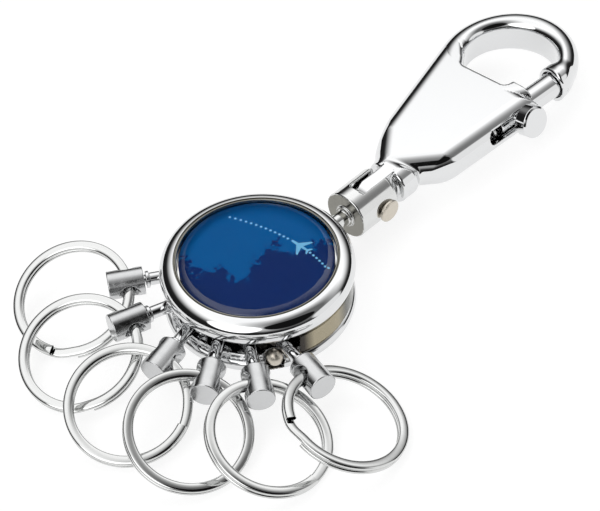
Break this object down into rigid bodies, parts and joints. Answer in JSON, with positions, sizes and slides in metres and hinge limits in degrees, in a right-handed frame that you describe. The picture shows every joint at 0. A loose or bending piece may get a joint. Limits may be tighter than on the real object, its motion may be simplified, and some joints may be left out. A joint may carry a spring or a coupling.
{
  "type": "key organiser",
  "caption": "Round key organiser with separate sliding key holders, each with its own split ring, and a snap hook with a sprung bolt gate on a swivel.",
  "frame": {"origin": "centre of the housing's flat back face", "axes": "+X along the snap hook, away from the housing; +Y across the hook, on the side away from its thumb button; +Z out of the front of the housing, through the inlay"},
  "size_m": [0.1321, 0.0775, 0.0148],
  "materials": {
    "chrome": "mirror polished chrome plate",
    "chrome_inner": "plain plated wall inside the groove",
    "holder_chrome": "turned and chrome plated",
    "ring_steel": "polished nickel-plated spring wire",
    "spring_steel": "bright drawn wire",
    "nickel": "dull nickel plate",
    "print": "printed blue map",
    "resin": "clear glossy resin"
  },
  "bodies": {
    "housing": {"base_plate": "chrome", "groove_core": "chrome_inner", "top_cover": "chrome", "inlay_disc": "print", "inlay_dome": "resin", "assembly_screw": "spring_steel"},
    "lock": {"lock_ball": "chrome"},
    "swivel": {"swivel_fork": "chrome", "rivet_pin": "nickel", "swivel_clip": "spring_steel"},
    "hook": {"hook_body": "chrome", "gate_spring": "spring_steel"},
    "gate": {"gate_bolt": "chrome", "thumb_button": "chrome"},
    "pin_1": {"holder_pin_1": "holder_chrome"},
    "barrel_1": {"holder_barrel_1": "holder_chrome"},
    "ring_1": {"key_ring_1": "ring_steel"},
    "pin_2": {"holder_pin_2": "holder_chrome"},
    "barrel_2": {"holder_barrel_2": "holder_chrome"},
    "ring_2": {"key_ring_2": "ring_steel"},
    "pin_3": {"holder_pin_3": "holder_chrome"},
    "barrel_3": {"holder_barrel_3": "holder_chrome"},
    "ring_3": {"key_ring_3": "ring_steel"},
    "pin_4": {"holder_pin_4": "holder_chrome"},
    "barrel_4": {"holder_barrel_4": "holder_chrome"},
    "ring_4": {"key_ring_4": "ring_steel"},
    "pin_5": {"holder_pin_5": "holder_chrome"},
    "barrel_5": {"holder_barrel_5": "holder_chrome"},
    "ring_5": {"key_ring_5": "ring_steel"},
    "pin_6": {"holder_pin_6": "holder_chrome"},
    "barrel_6": {"holder_barrel_6": "holder_chrome"},
    "ring_6": {"key_ring_6": "ring_steel"}
  },
  "joints": [
    {"name": "lock_press", "type": "slide", "parent": "housing", "child": "lock", "axis": [0, 0, 1], "range_m": [-0.0004, 0], "stiffness_N_per_m": 400, "springref_m": 0.0006},
    {"name": "swivel_turn", "type": "hinge", "parent": "housing", "child": "swivel", "pos_m": [0.01188, 0.00064, 0.0048], "axis": [0.9985, 0.0541, 0], "continuous": true},
    {"name": "hook_fold", "type": "hinge", "parent": "swivel", "child": "hook", "pos_m": [0.02876, 0.00156, 0.0048], "axis": [-0.0541, 0.9985, 0], "range_deg": [-18, 18]},
    {"name": "gate_slide", "type": "slide", "parent": "hook", "child": "gate", "axis": [1, 0, 0], "range_m": [-0.0072, 0], "stiffness_N_per_m": 180, "springref_m": 0.004, "deforming": ["gate_spring"]},
    {"name": "holder_1_slide", "type": "hinge", "parent": "housing", "child": "pin_1", "pos_m": [0, 0, 0.0048], "axis": [0, 0, 1], "range_deg": [-4, 1]},
    {"name": "barrel_1_turn", "type": "hinge", "parent": "pin_1", "child": "barrel_1", "pos_m": [-0.00678, 0.01086, 0.0048], "axis": [-0.848, 0.5299, 0], "range_deg": [-15, 3]},
    {"name": "ring_1_swing", "type": "hinge", "parent": "barrel_1", "child": "ring_1", "pos_m": [-0.01645, 0.0169, 0.0048], "axis": [-0.504, -0.8065, -0.309], "range_deg": [-4, 40]},
    {"name": "holder_2_slide", "type": "hinge", "parent": "housing", "child": "pin_2", "pos_m": [0, 0, 0.0048], "axis": [0, 0, 1], "range_deg": [-1, 1]},
    {"name": "barrel_2_turn", "type": "hinge", "parent": "pin_2", "child": "barrel_2", "pos_m": [-0.01125, 0.00611, 0.0048], "axis": [-0.9588, 0.284, 0], "range_deg": [-15, 3]},
    {"name": "ring_2_swing", "type": "hinge", "parent": "barrel_2", "child": "ring_2", "pos_m": [-0.02218, 0.00934, 0.0048], "axis": [-0.2762, -0.9323, -0.2334], "range_deg": [-5, 3.5]},
    {"name": "holder_3_slide", "type": "hinge", "parent": "housing", "child": "pin_3", "pos_m": [0, 0, 0.0048], "axis": [0, 0, 1], "range_deg": [-1, 1]},
    {"name": "barrel_3_turn", "type": "hinge", "parent": "pin_3", "child": "barrel_3", "pos_m": [-0.01269, 0.00167, 0.0048], "axis": [-0.9563, -0.2924, 0], "range_deg": [-15, 3]},
    {"name": "ring_3_swing", "type": "hinge", "parent": "barrel_3", "child": "ring_3", "pos_m": [-0.02359, -0.00166, 0.0048], "axis": [0.2879, -0.9418, -0.1736], "range_deg": [-6, 5]},
    {"name": "holder_4_slide", "type": "hinge", "parent": "housing", "child": "pin_4", "pos_m": [0, 0, 0.0048], "axis": [0, 0, 1], "range_deg": [-1, 1]},
    {"name": "barrel_4_turn", "type": "hinge", "parent": "pin_4", "child": "barrel_4", "pos_m": [-0.01221, -0.00385, 0.0048], "axis": [-0.7986, -0.6018, 0], "range_deg": [-15, 4]},
    {"name": "ring_4_swing", "type": "hinge", "parent": "barrel_4", "child": "ring_4", "pos_m": [-0.02131, -0.01071, 0.0048], "axis": [0.577, -0.7657, -0.284], "range_deg": [-6, 6]},
    {"name": "holder_5_slide", "type": "hinge", "parent": "housing", "child": "pin_5", "pos_m": [0, 0, 0.0048], "axis": [0, 0, 1], "range_deg": [-1, 1]},
    {"name": "barrel_5_turn", "type": "hinge", "parent": "pin_5", "child": "barrel_5", "pos_m": [-0.00995, -0.00805, 0.0048], "axis": [-0.5446, -0.8387, 0], "range_deg": [-15, 4]},
    {"name": "ring_5_swing", "type": "hinge", "parent": "barrel_5", "child": "ring_5", "pos_m": [-0.01616, -0.01762, 0.0048], "axis": [0.7953, -0.5165, -0.3173], "range_deg": [-8, 7]},
    {"name": "holder_6_slide", "type": "hinge", "parent": "housing", "child": "pin_6", "pos_m": [0, 0, 0.0048], "axis": [0, 0, 1], "range_deg": [-1.5, 1.5]},
    {"name": "barrel_6_turn", "type": "hinge", "parent": "pin_6", "child": "barrel_6", "pos_m": [-0.00611, -0.01125, 0.0048], "axis": [-0.1736, -0.9848, 0], "range_deg": [-15, 10]},
    {"name": "ring_6_swing", "type": "hinge", "parent": "barrel_6", "child": "ring_6", "pos_m": [-0.00809, -0.02248, 0.0048], "axis": [0.9283, -0.1637, -0.3338], "range_deg": [-45, 8]}
  ]
}
